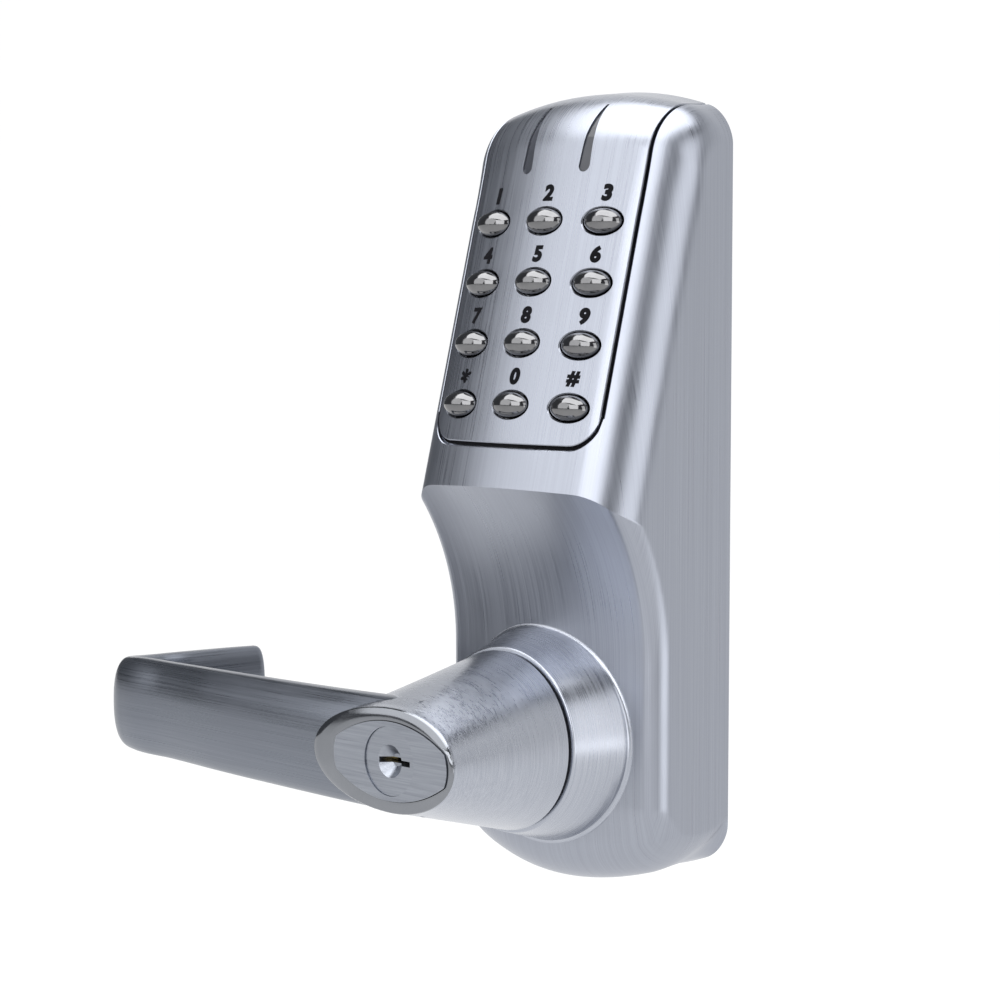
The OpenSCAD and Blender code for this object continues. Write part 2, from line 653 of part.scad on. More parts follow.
module cable_grommet() color([0.06, 0.06, 0.06]) facing() difference() {
    translate([-7.95, 72.05, 0.02]) cube([15.9, 7.9, 4.6]);
    translate([-6.1, 73.9, -1]) cube([12.2, 4.2, 10]);
}

casting();
keypad_plate();
plate_seal();
lever_collar();
lever_bush();
for (i = [0:11]) button(i);
rubber_mat();
circuit_board();
board_chips();
board_screws();
board_connector();
buzzer();
status_leds();
light_pipe_left();
light_pipe_right();
plate_screws();
clutch_motor();
motor_bracket();
bracket_screws();
drive_cam();
clutch_yoke();
clutch_pin();
lever_handle();
drive_plate();
circlip();
return_spring();
spindle_driver();
cylinder_body();
key_plug();
key_pins();
driver_pins();
pin_springs();
plug_clip();
tailpiece();
cylinder_screw();
back_plate();
back_screws();
collar_screws();
fixing_posts();
door_gasket();
cable_grommet();
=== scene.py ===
import math

import bpy
import numpy as np
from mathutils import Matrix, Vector


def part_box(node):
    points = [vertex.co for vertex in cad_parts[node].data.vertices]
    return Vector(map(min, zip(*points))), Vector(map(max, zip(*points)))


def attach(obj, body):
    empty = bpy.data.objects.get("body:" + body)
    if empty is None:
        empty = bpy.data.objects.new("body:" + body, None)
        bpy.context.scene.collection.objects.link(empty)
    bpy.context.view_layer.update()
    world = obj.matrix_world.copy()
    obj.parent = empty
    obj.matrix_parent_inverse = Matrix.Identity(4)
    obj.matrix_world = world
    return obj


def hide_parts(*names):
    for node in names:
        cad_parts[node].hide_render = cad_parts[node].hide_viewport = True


# The outside unit of a keypad lever lock: smooth surfaces, brushed metal and a studio round the
# CAD parts. Shapes are worked out in millimetres and made in metres. "Depth" is the distance out
# from the door, along -Y.
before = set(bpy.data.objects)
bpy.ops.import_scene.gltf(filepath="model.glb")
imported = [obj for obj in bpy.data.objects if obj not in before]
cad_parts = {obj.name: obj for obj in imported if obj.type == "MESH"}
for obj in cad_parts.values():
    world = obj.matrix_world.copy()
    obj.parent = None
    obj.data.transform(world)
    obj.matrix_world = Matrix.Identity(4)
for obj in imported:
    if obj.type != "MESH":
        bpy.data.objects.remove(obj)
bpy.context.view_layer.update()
MM = 0.001


def size_of(node, corner, axis):
    """One coordinate of a CAD node's box, in millimetres."""
    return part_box(node)[corner][axis] / MM


# ---------------------------------------------------------------- sizes
LOW, HIGH = 0, 1
HALF_W = size_of("casting", HIGH, 0)
BODY_TOP = size_of("keypad_plate", HIGH, 2)
BODY_BOTTOM = -size_of("casting", LOW, 2)
WALL = 3.6
LIP_STEP = 0.35
LEAN = math.radians(15.26)
FACE_DEPTH = 44.5
KEY_Z0 = 87.18
LOW_DEPTH = 32.6
SCOOP_R = 66
SCOOP_Z = 21
BOW_FACE, BOW_LOW, BOW_TOP, BOW_BASE = 0.004, 0.0028, 0.0053, 0.0064
ROUND_FACE, ROUND_LOW, ROUND_TOP, ROUND_BASE = 13, 5, 8, 7
EDGE_LOW, EDGE_TOP = 13, 20
TOP_FALL = 0.11
LOW_SPINE, LOW_END = -22, -18
FACE_END, TOP_SPINE = 135, 151.5
BULGE_BOW, BULGE_ROUND = 0.004, 7

PLATE_HALF = size_of("keypad_plate", HIGH, 0)
PLATE_Z = size_of("keypad_plate", LOW, 2)
PLATE_T = 2
PLATE_GAP = 0.8
PLATE_ROUND = 7.6
POCKET = 2.3
WINDOW = (27.1, 82, 143)
KEY_DX = 18.92
KEY_DZ = 16.4 * math.cos(LEAN)
KEY_A, KEY_B, KEY_RISE = 5.9, 3.45, 3.0
KEY_NAMES = ["1", "2", "3", "4", "5", "6", "7", "8", "9", "star", "0", "hash"]
DIGITS = "123456789*0#"
DIGIT_RISE = 7.6
DIGIT_HIGH, SIGN_HIGH, DIGIT_WIDEN = 4.1, 3.8, 1.1
INK_PROUD, INK_DEEP = 0.06, 0.15
STROKE, STAR_STROKE = 0.24, 0.06
PIPE_X = (-9.7, 10.2)

KEY_GAP = 0.3
SKIRT, STEM_SHARE, COLLAR_SHARE, COLLAR_T = -0.7, 0.27, 1.12, 1
PLATE_CHAMFER = 0.22
MAT_DEPTH, MAT_T, MAT_CLEAR = 8.6, 1.2, 0.4
HOLE_CHAMFER = 0.25
HOLE_R = 28.2
PIPE_LOW, PIPE_MID, PIPE_TIP = 148.9, 157, 165
PIPE_R, PIPE_R_MID, PIPE_R_TIP, PIPE_CLEAR = 1.7, 1.3, 0.25, 0.05

COLLAR_R, COLLAR_BASE, COLLAR_TIP_R, COLLAR_FRONT = 29.2, 30.2, 24.3, 46.6
COLLAR_WELL = (15.5, 21.6, 42)
BEAD_REACH = 0.8
FLANGE_BACK = 23.4
BUSH_R = 13
HUB_BACK = 47.4
HUB_R, HUB_R_LEFT, HUB_R_RIGHT, HUB_R_HIGH = 23.6, 29, 21.6, 13
OVAL_FLAT, OVAL_R, OVAL_LENS_Z, OVAL_LENS_R, OVAL_CLEAR = 10, 10, 24, 34, 0.16
LEVER_FRONT = 88
HUB_EDGE, HUB_EDGE_BACK = 0.97, 0.6
BAR_PATH = [(4, 79), (-20, 79.6), (-45, 79.2), (-75, 77.8), (-98, 76.2)]
BEND_IN, BEND_DEPTH, BEND_R = 14.2, 67, 8.5
LEG_PATH = [(7.6, 52), (9.4, 38), (10.6, 29)]
BAR_HALF_H, BAR_HALF_T = (14.8, 13.5, 11.4), (7, 5.6, 4.6)
BAR_SQUARE = 0.8
CYL_BACK = 58
JOURNAL_R, JOURNAL_IN, JOURNAL_BACK = 11, 8.2, 5.6


def mix(a, b, t):
    return a + (b - a) * t


# ---------------------------------------------------------------- the casting's surface
def slope_depth(z):
    """Depth of the sloping keypad face on the centre line."""
    return FACE_DEPTH - (z - KEY_Z0) * math.tan(LEAN)


def scoop_depth(z):
    """Depth of the flat below and of the hollow sweep above it, on the centre line."""
    rise = np.maximum(z - SCOOP_Z, 0)
    return LOW_DEPTH + SCOOP_R - np.sqrt(SCOOP_R**2 - rise**2)


def side_drop(x, bow, r):
    """How far the surface has fallen at x from its height on the centre line."""
    a = np.clip(np.abs(x) - (HALF_W - r), 0, r)
    return bow * x * x + r - np.sqrt(np.maximum(r * r - a * a, 0))


def lip_z(x):
    """Height at which the hollow sweep meets the keypad face."""
    fall = side_drop(x, BOW_FACE, ROUND_FACE) - side_drop(x, BOW_LOW, ROUND_LOW)
    m = math.tan(LEAN)
    q = LOW_DEPTH + SCOOP_R - slope_depth(SCOOP_Z) + fall
    root = np.sqrt((q * m) ** 2 - (1 + m * m) * (q * q - SCOOP_R**2))
    return SCOOP_Z + (root - q * m) / (1 + m * m)


def low_profile(t):
    """Centre line from the door round the bottom edge to the front, as depth and height."""
    u = 9 * t
    a = np.radians(-90 + 18 * (np.clip(u, 3, 8) - 3))
    depth = LOW_DEPTH - EDGE_LOW + EDGE_LOW * np.cos(a)
    z = -BODY_BOTTOM + EDGE_LOW + EDGE_LOW * np.sin(a)
    depth = np.where(u < 3, (LOW_DEPTH - EDGE_LOW) * u / 3, depth)
    z = np.where(u > 8, mix(-BODY_BOTTOM + EDGE_LOW, LOW_END, u - 8), z)
    return depth, z


def top_profile(t):
    """Centre line from the keypad face over the top edge to the door, as depth and height."""
    u = 13 * t
    a1, a2 = LEAN, math.pi / 2 - math.atan(TOP_FALL)
    corner = slope_depth(BODY_TOP) / (1 - TOP_FALL * math.tan(LEAN))
    h = EDGE_TOP / math.cos((a2 - a1) / 2)
    cx = corner - h * math.cos((a1 + a2) / 2)
    cz = BODY_TOP - TOP_FALL * corner - h * math.sin((a1 + a2) / 2)
    a = mix(a1, a2, (np.clip(u, 3, 11) - 3) / 8)
    depth, z = cx + EDGE_TOP * np.cos(a), cz + EDGE_TOP * np.sin(a)
    start = cz + EDGE_TOP * math.sin(a1)
    z_face = np.where(u < 2, FACE_END + 6 * u, mix(FACE_END + 12, start, u - 2))
    depth = np.where(u < 3, slope_depth(z_face), depth)
    z = np.where(u < 3, z_face, z)
    end = cx + EDGE_TOP * math.cos(a2)
    back = np.where(u > 11, end * (1 - (u - 11) / 2), depth)
    z = np.where(u > 11, z + TOP_FALL * (end - back), z)
    return back, z


def fan(x, depth, z, spine, bow, r):
    """A point of a fan of stations that turn about the spine line on the door plane."""
    h = np.hypot(depth, z - spine)
    s = (h - side_drop(x, bow, r)) / h
    return depth * s, spine + (z - spine) * s


def surface(x, v):
    """Point of the casting's outer surface. v runs 0 to 1 under the base, to 2 at the lip, to 3 up
    the keypad face and to 4 over the top."""
    x, v = np.broadcast_arrays(np.asarray(x, float), np.asarray(v, float))
    t = np.clip(v, 0, 1)
    bulge = np.sin(math.pi * t)
    low = fan(x, *low_profile(t), mix(LOW_SPINE, LOW_END, t),
              mix(BOW_BASE, BOW_LOW, t) + BULGE_BOW * bulge,
              mix(ROUND_BASE, ROUND_LOW, t) + BULGE_ROUND * bulge)
    z_low = mix(LOW_END, lip_z(x), np.clip(v - 1, 0, 1))
    scoop = scoop_depth(z_low) - side_drop(x, BOW_LOW, ROUND_LOW)
    z_face = mix(lip_z(x), FACE_END, np.clip(v - 2, 0, 1))
    face = slope_depth(z_face) - side_drop(x, BOW_FACE, ROUND_FACE)
    t = np.clip(v - 3, 0, 1)
    top = fan(x, *top_profile(t), mix(FACE_END, TOP_SPINE, t), mix(BOW_FACE, BOW_TOP, t),
              mix(ROUND_FACE, ROUND_TOP, t))
    depth = np.select([v <= 1, v <= 2, v <= 3], [low[0], scoop, face], top[0])
    z = np.select([v <= 1, v <= 2, v <= 3], [low[1], z_low, z_face], top[1])
    return np.stack([x, -depth, z], -1)


def spine_z(v):
    """Height on the door plane that a station's side wall runs back to."""
    return np.where(v <= 1, mix(LOW_SPINE, LOW_END, np.clip(v, 0, 1)),
                    mix(FACE_END, TOP_SPINE, np.clip(v - 3, 0, 1)))


def face_v(x, z):
    """v of a point of the keypad face at height z."""
    return 2 + (z - lip_z(x)) / (FACE_END - lip_z(x))


def outline_z(x, grow):
    """Lower edge of the plate's outline at x, grown by a margin."""
    r, half = PLATE_ROUND + grow, PLATE_HALF + grow
    a = np.clip(np.abs(x) - (half - r), 0, r)
    return PLATE_Z - 1.5 * grow + r - np.sqrt(np.maximum(r * r - a * a, 0))


# ---------------------------------------------------------------- mesh helpers
def make(name, points, faces, materials=(), slots=None, sharp=35):
    """A mesh object from points in millimetres."""
    used = np.unique(np.concatenate([np.asarray(f, int) for f in faces]))
    place = np.zeros(len(points), int)
    place[used] = np.arange(len(used))
    mesh = bpy.data.meshes.new(name)
    corners = (np.asarray(points, float)[used] * MM).tolist()
    mesh.from_pydata(corners, [], [place[list(f)].tolist() for f in faces])
    mesh.validate()
    for m in materials:
        mesh.materials.append(m)
    if slots is not None:
        mesh.polygons.foreach_set("material_index", np.asarray(slots, np.int32))
    mesh.shade_smooth()
    mesh.set_sharp_from_angle(angle=math.radians(sharp))
    obj = bpy.data.objects.new(name, mesh)
    bpy.context.scene.collection.objects.link(obj)
    return obj


def apply_modifiers(obj, sharp=35):
    """Turns an object's modifiers into its mesh."""
    graph = bpy.context.evaluated_depsgraph_get()
    mesh = bpy.data.meshes.new_from_object(obj.evaluated_get(graph))
    mesh.name = obj.name
    obj.modifiers.clear()
    obj.data = mesh
    mesh.shade_smooth()
    mesh.set_sharp_from_angle(angle=math.radians(sharp))


def combine(obj, tool, operation, sharp=35):
    """Boolean with a tool object, which is used up."""
    change = obj.modifiers.new("cut", "BOOLEAN")
    change.operation = operation
    change.solver = "EXACT"
    change.object = tool
    apply_modifiers(obj, sharp)
    bpy.data.objects.remove(tool)


def merge(objects):
    """Joins objects' meshes into the first one."""
    first = objects[0]
    with bpy.context.temp_override(active_object=first, object=first, selected_objects=objects,
                                   selected_editable_objects=objects):
        bpy.ops.object.join()
    return first


def grid_normals(grid):
    """Unit normals of a grid of points, to the left of its rows and up its columns."""
    along = np.gradient(grid, axis=1)
    up = np.gradient(grid, axis=0)
    n = np.cross(along, up)
    return n / np.maximum(np.linalg.norm(n, axis=-1, keepdims=True), 1e-9)


def inward(normals, depth):
    """Offset that sinks a surface by a depth without moving it sideways."""
    n = normals * [0, 1, 1]
    size = np.maximum(np.linalg.norm(n, axis=-1, keepdims=True), 0.3)
    return -n / size * depth / size


def cell_faces(cells, base, columns, flip=False):
    """A quad for each marked cell of a grid whose points start at base."""
    i, j = np.nonzero(cells)
    a = base + i * columns + j
    quads = np.stack([a, a + 1, a + columns + 1, a + columns], 1)
    return (quads[:, ::-1] if flip else quads).tolist()


def rim_edges(cells, inside_only=False):
    """Directed edges round a set of cells, with the cells on their left, as pairs of (row, column)."""
    pad = np.pad(cells, 1, constant_values=inside_only)
    if inside_only:
        pad[1:-1, 1:-1] = cells
    edges = []
    for di, dj, a, b in ((-1, 0, (0, 0), (0, 1)), (0, 1, (0, 1), (1, 1)), (1, 0, (1, 1), (1, 0)),
                         (0, -1, (1, 0), (0, 0))):
        near = pad[1 + di:pad.shape[0] - 1 + di, 1 + dj:pad.shape[1] - 1 + dj]
        for i, j in zip(*np.nonzero(cells & ~near)):
            edges.append(((i + a[0], j + a[1]), (i + b[0], j + b[1])))
    return edges


def strip(edges, top, bottom, columns):
    """Quads from each directed edge of one sheet to the same edge of another."""
    return [[top + a[0] * columns + a[1], top + b[0] * columns + b[1],
             bottom + b[0] * columns + b[1], bottom + a[0] * columns + a[1]] for a, b in edges]


def loft(rings, joined=False):
    """Points and faces of a closed tube through rings of equal length. joined links the last ring
    to the first; otherwise both ends are capped."""
    rings = [np.asarray(r, float) for r in rings]
    n, m = len(rings), len(rings[0])
    faces = []
    for i in range(n if joined else n - 1):
        k = (i + 1) % n
        for j in range(m):
            q = (j + 1) % m
            faces.append([i * m + j, i * m + q, k * m + q, k * m + j])
    points = np.concatenate(rings)
    for i in () if joined else (0, n - 1):
        points = np.concatenate([points, rings[i].mean(0)[None]])
        middle = len(points) - 1
        for j in range(m):
            a, b = i * m + j, i * m + (j + 1) % m
            faces.append([b, a, middle] if i == 0 else [a, b, middle])
    return points, faces


def lathe(profile, count=160):
    """A closed profile of (radius, depth) points turned about the lever's axis."""
    angles = np.linspace(0, 2 * math.pi, count, endpoint=False)
    rings = [[[r * math.cos(a), -o, r * math.sin(a)] for a in angles] for r, o in profile]
    return loft(rings, joined=True)


def slope_frame(x, z, y, out):
    """Points given in the sloping face's own frame: x to the right, y up the slope, out of it."""
    y, out = np.asarray(y, float), np.asarray(out, float)
    depth = slope_depth(z) + out * math.cos(LEAN) - y * math.sin(LEAN)
    height = z + out * math.sin(LEAN) + y * math.cos(LEAN)
    return np.stack([np.broadcast_to(x, depth.shape), -depth, height], -1)


def face_out(x):
    """How far the keypad face lies out of its plane at x."""
    return -side_drop(x, BOW_FACE, ROUND_FACE) * math.cos(LEAN)


# ---------------------------------------------------------------- materials
def new_material(name):
    """A material, its nodes, its links and its shader."""
    m = bpy.data.materials.new(name)
    m.use_nodes = True
    nodes = m.node_tree.nodes
    return m, nodes, m.node_tree.links, nodes["Principled BSDF"]


def ramp(nodes, links, source, low, high, start=0.3, end=0.7):
    """Maps a value between start and end to one between low and high."""
    node = nodes.new("ShaderNodeMapRange")
    node.inputs["From Min"].default_value = start
    node.inputs["From Max"].default_value = end
    node.inputs["To Min"].default_value = low
    node.inputs["To Max"].default_value = high
    links.new(source, node.inputs["Value"])
    return node.outputs["Result"]


def tint(nodes, links, source, dark, light):
    """A colour between dark and light."""
    node = nodes.new("ShaderNodeMix")
    node.data_type = "RGBA"
    node.inputs["A"].default_value = (*dark, 1)
    node.inputs["B"].default_value = (*light, 1)
    links.new(source, node.inputs["Factor"])
    return node.outputs["Result"]


def noise(nodes, links, vector, scale, detail=4, rough=0.6):
    node = nodes.new("ShaderNodeTexNoise")
    node.inputs["Scale"].default_value = scale
    node.inputs["Detail"].default_value = detail
    node.inputs["Roughness"].default_value = rough
    if vector is not None:
        links.new(vector, node.inputs["Vector"])
    return node.outputs["Fac"]


def stretched(nodes, links, source, scale):
    """A place scaled along each axis."""
    node = nodes.new("ShaderNodeMapping")
    node.inputs["Scale"].default_value = scale
    links.new(source, node.inputs["Vector"])
    return node.outputs["Vector"]


def turned(nodes, links, source):
    """Radius, depth and angle about the lever's axis, so that grain can run round it."""
    split = nodes.new("ShaderNodeSeparateXYZ")
    links.new(source, split.inputs[0])
    flat = nodes.new("ShaderNodeCombineXYZ")
    links.new(split.outputs["X"], flat.inputs["X"])
    links.new(split.outputs["Z"], flat.inputs["Z"])
    length = nodes.new("ShaderNodeVectorMath")
    length.operation = "LENGTH"
    links.new(flat.outputs[0], length.inputs[0])
    angle = nodes.new("ShaderNodeMath")
    angle.operation = "ARCTAN2"
    links.new(split.outputs["Z"], angle.inputs[0])
    links.new(split.outputs["X"], angle.inputs[1])
    out = nodes.new("ShaderNodeCombineXYZ")
    links.new(length.outputs["Value"], out.inputs["X"])
    links.new(split.outputs["Y"], out.inputs["Y"])
    links.new(angle.outputs[0], out.inputs["Z"])
    return out.outputs[0]


def facing_side(nodes, links):
    """1 where a surface faces left or right, 0 where it faces the front."""
    split = nodes.new("ShaderNodeSeparateXYZ")
    links.new(nodes.new("ShaderNodeTexCoord").outputs["Normal"], split.inputs[0])
    size = nodes.new("ShaderNodeMath")
    size.operation = "ABSOLUTE"
    links.new(split.outputs["X"], size.inputs[0])
    return ramp(nodes, links, size.outputs[0], 0, 1, 0.55, 0.8)


def brushed(name, dark, light, rough, grain, around=False, bump=0.25, spread=0.06, side=None):
    """Brushed metal. grain is the scale of the scratches along X, Y and Z (or radius, depth, angle).
    side is the grain of the faces that look left and right."""
    m, nodes, links, shader = new_material(name)
    place = nodes.new("ShaderNodeTexCoord").outputs["Object"]
    if around:
        place = turned(nodes, links, place)
    lines = noise(nodes, links, stretched(nodes, links, place, grain), 1, 3, 0.7)
    if side:
        other = noise(nodes, links, stretched(nodes, links, place, side), 1, 3, 0.7)
        chosen = nodes.new("ShaderNodeMix")
        links.new(facing_side(nodes, links), chosen.inputs["Factor"])
        links.new(lines, chosen.inputs["A"])
        links.new(other, chosen.inputs["B"])
        lines = chosen.outputs["Result"]
    broad = noise(nodes, links, nodes.new("ShaderNodeTexCoord").outputs["Object"], 45, 2, 0.5)
    shader.inputs["Metallic"].default_value = 1
    colour = tint(nodes, links, ramp(nodes, links, lines, 0, 1), dark, light)
    links.new(colour, shader.inputs["Base Color"])
    both = nodes.new("ShaderNodeMath")
    both.operation = "ADD"
    links.new(ramp(nodes, links, lines, rough - spread, rough + spread), both.inputs[0])
    links.new(ramp(nodes, links, broad, -0.03, 0.03), both.inputs[1])
    links.new(both.outputs[0], shader.inputs["Roughness"])
    relief = nodes.new("ShaderNodeBump")
    relief.inputs["Strength"].default_value = bump
    relief.inputs["Distance"].default_value = 0.00004
    links.new(lines, relief.inputs["Height"])
    links.new(relief.outputs["Normal"], shader.inputs["Normal"])
    return m


def polished(name, dark, light, rough, smear=90):
    """Polished metal with faint smears and dust."""
    m, nodes, links, shader = new_material(name)
    place = nodes.new("ShaderNodeTexCoord").outputs["Object"]
    smears = noise(nodes, links, place, smear, 5, 0.6)
    fine = noise(nodes, links, place, 1400, 3, 0.6)
    shader.inputs["Metallic"].default_value = 1
    links.new(tint(nodes, links, smears, dark, light), shader.inputs["Base Color"])
    links.new(ramp(nodes, links, smears, rough * 0.7, rough * 1.4), shader.inputs["Roughness"])
    relief = nodes.new("ShaderNodeBump")
    relief.inputs["Strength"].default_value = 0.06
    relief.inputs["Distance"].default_value = 0.00002
    links.new(fine, relief.inputs["Height"])
    links.new(relief.outputs["Normal"], shader.inputs["Normal"])
    return m


def moulded(name, dark, light, rough, grain=1600, bump=0.2, metallic=0.0):
    """Moulded plastic, rubber, lacquer or plain metal with a fine grain."""
    m, nodes, links, shader = new_material(name)
    place = nodes.new("ShaderNodeTexCoord").outputs["Object"]
    fine = noise(nodes, links, place, grain, 4, 0.6)
    broad = noise(nodes, links, place, 60, 3, 0.5)
    shader.inputs["Metallic"].default_value = metallic
    colour = tint(nodes, links, ramp(nodes, links, broad, 0, 1), dark, light)
    links.new(colour, shader.inputs["Base Color"])
    links.new(ramp(nodes, links, fine, rough - 0.06, rough + 0.06), shader.inputs["Roughness"])
    relief = nodes.new("ShaderNodeBump")
    relief.inputs["Strength"].default_value = bump
    relief.inputs["Distance"].default_value = 0.00005
    links.new(fine, relief.inputs["Height"])
    links.new(relief.outputs["Normal"], shader.inputs["Normal"])
    return m


STEEL_DARK, STEEL_LIGHT = (0.29, 0.305, 0.35), (0.35, 0.37, 0.42)
upright = brushed("brushed_upright", STEEL_DARK, STEEL_LIGHT, 0.33, (3000, 9, 9), bump=0.06,
                  side=(9, 3000, 9))
plate_metal = brushed("brushed_plate", STEEL_DARK, STEEL_LIGHT, 0.30, (3000, 12, 12), bump=0.06)
around_axis = brushed("brushed_round", (0.34, 0.36, 0.41), (0.43, 0.45, 0.50), 0.27,
                      (1900, 1900, 0.6), True, bump=0.035)
# Brushed steel for the lever bar: the same steel as the hub, with a much darker base colour as painted
# shade so the bar reads dark.
lever_steel_painted_shade = brushed("brushed_bar_painted_shade", (0.16, 0.175, 0.205), (0.21, 0.225, 0.26), 0.31,
                     (14, 14, 3200), bump=0.06)
cylinder_metal = brushed("brushed_cylinder", (0.24, 0.255, 0.29), (0.33, 0.35, 0.39), 0.33,
                         (40, 1500, 2200))
mirror = polished("polished_steel", (0.19, 0.20, 0.22), (0.26, 0.27, 0.29), 0.12)
chrome = polished("polished_chrome", (0.15, 0.15, 0.155), (0.21, 0.21, 0.215), 0.1, 300)
ink = moulded("black_ink", (0.004, 0.004, 0.005), (0.009, 0.009, 0.011), 0.85)
seal = moulded("black_seal", (0.004, 0.004, 0.005), (0.010, 0.010, 0.012), 0.6)
for dull in (ink, seal):
    dull.node_tree.nodes["Principled BSDF"].inputs["Specular IOR Level"].default_value = 0.05
rubber = moulded("black_rubber", (0.012, 0.012, 0.013), (0.022, 0.022, 0.024), 0.75, 900, 0.4)
black_plastic = moulded("black_plastic", (0.010, 0.010, 0.011), (0.022, 0.022, 0.024), 0.45)
white_plastic = moulded("white_plastic", (0.72, 0.70, 0.62), (0.80, 0.78, 0.71), 0.45)
smoked = moulded("smoked_lens", (0.020, 0.022, 0.028), (0.045, 0.048, 0.058), 0.18, 400, 0.05)
board_green = moulded("circuit_board_green", (0.004, 0.050, 0.022), (0.008, 0.080, 0.036), 0.35, 700, 0.3)
bronze = moulded("sintered_bronze", (0.36, 0.22, 0.08), (0.48, 0.31, 0.13), 0.38, 2200, 0.5, 1.0)
brass = moulded("turned_brass", (0.50, 0.36, 0.12), (0.62, 0.46, 0.18), 0.25, 1200, 0.2, 1.0)
plated = moulded("zinc_plated_steel", (0.42, 0.44, 0.47), (0.60, 0.61, 0.63), 0.32, 800, 0.2, 1.0)
spring_steel = moulded("spring_steel", (0.16, 0.16, 0.18), (0.26, 0.26, 0.28), 0.34, 900, 0.2, 1.0)
dark_steel = moulded("blackened_steel", (0.03, 0.03, 0.035), (0.07, 0.07, 0.08), 0.4, 900, 0.2, 1.0)
red_lens = moulded("red_lens", (0.35, 0.02, 0.02), (0.55, 0.04, 0.03), 0.2, 400, 0.05)


# ---------------------------------------------------------------- casting
def mirrored(half):
    """Columns on both sides of the centre from those on the right of it."""
    half = np.asarray(half, float)
    return np.concatenate([-half[:0:-1], half])


def opening_columns(grow, chamfer):
    """Columns across the plate's outline, close together where its corners turn."""
    r, half = PLATE_ROUND + grow, PLATE_HALF + grow
    turn = half - r + r * np.sin(np.radians(np.linspace(0, 90, 17)))
    inner = np.linspace(0, half - r, 15)[:-1]
    columns = np.concatenate([inner, turn])
    kept = columns[:-1][columns[:-1] < half - chamfer - 0.02]
    return np.sort(np.append(kept, [half - chamfer, half]))


def top_stations(on_face, on_edge):
    """Places along the top's centre line, on the face, round the edge and back to the door."""
    parts = [np.linspace(0, 3, on_face), np.linspace(3, 11, on_edge), np.linspace(11, 13, 6)]
    return np.unique(np.concatenate(parts))[1:] / 13


def casting_rows(x):
    """v of every row at the columns x, and the index of the row along the opening's lower edge."""
    base = np.unique(np.concatenate([np.linspace(0, 3 / 9, 6), np.linspace(3 / 9, 8 / 9, 19),
                                     np.linspace(8 / 9, 1, 4)]))
    near = LIP_STEP / (lip_z(x) - LOW_END)
    scoop = [np.full_like(x, 1 + t) for t in np.linspace(0, 1, 41)[1:-1]] + [2 - near]
    lip, edge = lip_z(x), outline_z(x, PLATE_GAP)
    heights = [lip, lip + LIP_STEP]
    heights += [mix(lip + LIP_STEP, edge - HOLE_CHAMFER, t) for t in np.linspace(0, 1, 10)[1:]] + [edge]
    heights += [mix(edge, FACE_END, t) for t in np.linspace(0, 1, 26)[1:]]
    face = [face_v(x, h) for h in heights]
    rows = [np.full_like(x, t) for t in base] + scoop + face
    rows += [np.full_like(x, 3 + t) for t in top_stations(5, 29)]
    return np.array(rows), len(base) + len(scoop) + 11


